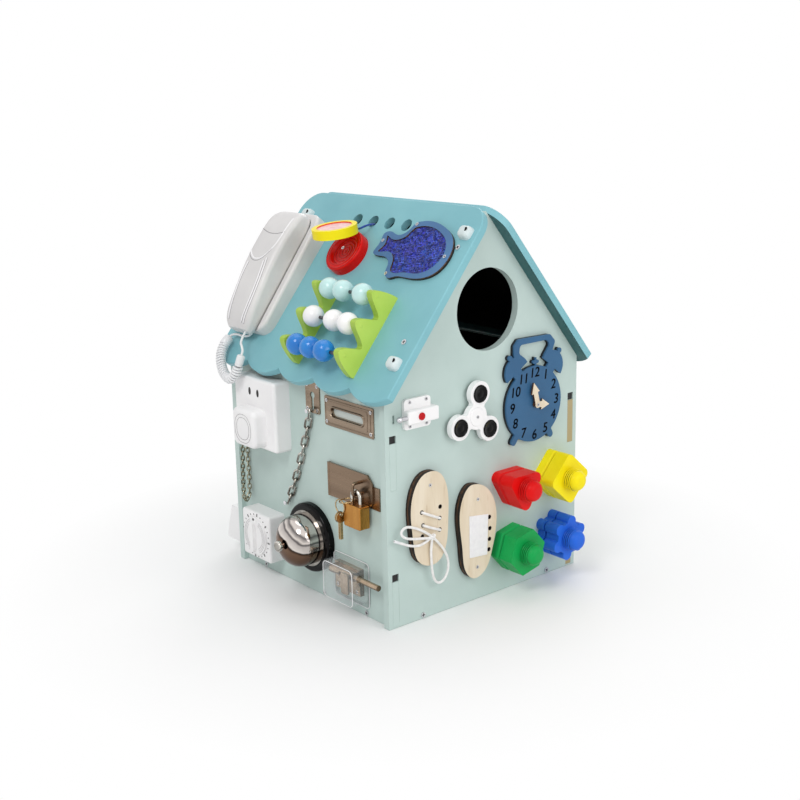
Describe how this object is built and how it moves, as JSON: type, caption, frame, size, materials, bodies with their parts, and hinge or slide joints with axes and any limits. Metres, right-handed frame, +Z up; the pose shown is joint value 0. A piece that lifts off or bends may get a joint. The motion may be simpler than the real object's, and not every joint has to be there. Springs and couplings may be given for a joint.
{
  "type": "busy house activity toy",
  "caption": "Gabled wooden play house with a scalloped roof, carrying locks, bell, chain, padlock, plug, beads, clock hands, spinner, laces and screw-on nuts to work by hand.",
  "frame": {"origin": "middle of the underside of the floor, where the house stands", "axes": "+Z up; -Y out of the wall with the bell and the padlock, below the roof side with the telephone; +X out of the gable with the round window"},
  "size_m": [0.3919, 0.3617, 0.4576],
  "materials": {
    "wall_paint": "painted satin",
    "roof_paint": "painted satin",
    "white_plastic": "glossy",
    "phone_plastic": "glossy",
    "cord_plastic": "satin",
    "red_paint": "gloss lacquer",
    "yellow_paint": "gloss lacquer",
    "blue_elastic": "woven",
    "blue_frame_paint": "painted satin",
    "sequin_fabric": "sequins",
    "lime_paint": "painted satin",
    "rod_metal": "brushed",
    "mint_bead": "gloss lacquer",
    "white_bead": "gloss lacquer",
    "blue_bead": "gloss lacquer",
    "birch": "bare birch plywood",
    "black_plastic": "glossy",
    "silver_metal": "bright zinc",
    "toy_plastic": "satin",
    "green_paint": "satin",
    "blue_plastic": "satin",
    "white_felt": "felt",
    "white_cord": "braided",
    "bright_chrome": "polished",
    "brass_metal": "satin",
    "clear_plastic": "clear moulded"
  },
  "bodies": {
    "house": {"gable_right": "wall_paint", "gable_left": "wall_paint", "wall_front": "wall_paint", "wall_back": "wall_paint", "floor_panel": "wall_paint", "roof_front": "roof_paint", "roof_back": "roof_paint", "roof_corner_blocks": "white_plastic", "indicator_lock_case": "white_plastic", "socket_box": "white_plastic", "timer_box": "white_plastic", "side_housing": "white_plastic", "spinner_hub": "white_plastic", "phone_base": "phone_plastic", "phone_cord_coil": "cord_plastic", "phone_cord_leads": "cord_plastic", "castanet_lower": "red_paint", "castanet_elastic": "blue_elastic", "whale_frame": "blue_frame_paint", "clock_face": "blue_frame_paint", "whale_sequins": "sequin_fabric", "abacus_brackets": "lime_paint", "abacus_rods": "rod_metal", "shoe_soles": "birch", "bell_base": "black_plastic", "screws": "silver_metal", "tether_chain": "silver_metal", "toy_bolts": "toy_plastic", "shoe_strap": "white_felt", "shoe_lace": "white_cord", "door_chain": "bright_chrome", "door_chain_plate": "bright_chrome", "flush_pull": "bright_chrome", "hasp": "bright_chrome", "bell_dome": "bright_chrome", "barrel_bolt_body": "bright_chrome", "bolt_cover": "clear_plastic"},
    "handset": {"phone_handset": "phone_plastic"},
    "castanet": {"castanet_upper": "yellow_paint"},
    "mint_pair": {"beads_mint_pair": "mint_bead"},
    "mint_single": {"bead_mint_single": "mint_bead"},
    "white_single": {"bead_white_single": "white_bead"},
    "white_pair": {"beads_white_pair": "white_bead"},
    "blue_beads": {"beads_blue": "blue_bead"},
    "plug": {"mains_plug": "white_plastic"},
    "padlock": {"padlock_body": "brass_metal", "padlock_shackle": "bright_chrome", "padlock_keys": "brass_metal"},
    "bell_button": {"bell_plunger": "bright_chrome"},
    "barrel_rod": {"barrel_bolt_rod": "bright_chrome"},
    "timer_knob": {"timer_dial": "white_plastic"},
    "lock_bolt": {"indicator_lock_bolt": "silver_metal"},
    "spinner": {"spinner_frame": "white_plastic", "spinner_caps": "black_plastic"},
    "hour_hand": {"clock_hour_hand": "birch"},
    "minute_hand": {"clock_minute_hand": "birch"},
    "nut_red": {"toy_nut_red": "red_paint"},
    "nut_yellow": {"toy_nut_yellow": "yellow_paint"},
    "nut_green": {"toy_nut_green": "green_paint"},
    "nut_blue": {"toy_nut_blue": "blue_plastic"}
  },
  "joints": [
    {"name": "handset_lift", "type": "slide", "parent": "house", "child": "handset", "axis": [0, -0.7771, 0.6293], "range_m": [0, 0.03]},
    {"name": "castanet_close", "type": "hinge", "parent": "house", "child": "castanet", "pos_m": [-0.0205, -0.05089, 0.42422], "axis": [1, 0, 0], "range_deg": [-20, 41], "stiffness_Nm_per_rad": 0.03, "springref_deg": -5.73},
    {"name": "mint_pair_slide", "type": "slide", "parent": "house", "child": "mint_pair", "axis": [1, 0, 0], "range_m": [-0.002, 0.0053]},
    {"name": "mint_single_slide", "type": "slide", "parent": "house", "child": "mint_single", "axis": [1, 0, 0], "range_m": [-0.0053, 0.0043]},
    {"name": "white_single_slide", "type": "slide", "parent": "house", "child": "white_single", "axis": [1, 0, 0], "range_m": [-0.0016, 0.0066]},
    {"name": "white_pair_slide", "type": "slide", "parent": "house", "child": "white_pair", "axis": [1, 0, 0], "range_m": [-0.0066, 0.0022]},
    {"name": "blue_beads_slide", "type": "slide", "parent": "house", "child": "blue_beads", "axis": [1, 0, 0], "range_m": [-0.0004, 0.0165]},
    {"name": "plug_pull", "type": "slide", "parent": "house", "child": "plug", "axis": [0, -1, 0], "range_m": [0, 0.02]},
    {"name": "padlock_swing", "type": "hinge", "parent": "house", "child": "padlock", "pos_m": [0.104, -0.1548, 0.1458], "axis": [0, 1, 0], "range_deg": [-15, 15]},
    {"name": "bell_press", "type": "slide", "parent": "house", "child": "bell_button", "axis": [0, 1, 0], "range_m": [0, 0.003], "stiffness_N_per_m": 400},
    {"name": "barrel_bolt_slide", "type": "slide", "parent": "house", "child": "barrel_rod", "axis": [-1, 0, 0], "range_m": [0, 0.012]},
    {"name": "timer_turn", "type": "hinge", "parent": "house", "child": "timer_knob", "pos_m": [-0.086, -0.167, 0.052], "axis": [0, -1, 0], "range_deg": [0, 330]},
    {"name": "indicator_bolt_slide", "type": "slide", "parent": "house", "child": "lock_bolt", "axis": [0, 1, 0], "range_m": [0, 0.006]},
    {"name": "spinner_spin", "type": "hinge", "parent": "house", "child": "spinner", "pos_m": [0.1615, -0.0256, 0.2255], "axis": [1, 0, 0], "continuous": true},
    {"name": "hour_hand_turn", "type": "hinge", "parent": "house", "child": "hour_hand", "pos_m": [0.1588, 0.0725, 0.222], "axis": [1, 0, 0], "continuous": true},
    {"name": "minute_hand_turn", "type": "hinge", "parent": "house", "child": "minute_hand", "pos_m": [0.1613, 0.0725, 0.222], "axis": [1, 0, 0], "continuous": true},
    {"name": "nut_red_turn", "type": "hinge", "parent": "house", "child": "nut_red", "pos_m": [0.1755, 0.031, 0.133], "axis": [1, 0, 0], "continuous": true},
    {"name": "nut_yellow_turn", "type": "hinge", "parent": "house", "child": "nut_yellow", "pos_m": [0.1755, 0.105, 0.129], "axis": [1, 0, 0], "continuous": true},
    {"name": "nut_green_turn", "type": "hinge", "parent": "house", "child": "nut_green", "pos_m": [0.1755, 0.034, 0.054], "axis": [1, 0, 0], "continuous": true},
    {"name": "nut_blue_turn", "type": "hinge", "parent": "house", "child": "nut_blue", "pos_m": [0.1755, 0.105, 0.054], "axis": [1, 0, 0], "continuous": true}
  ]
}
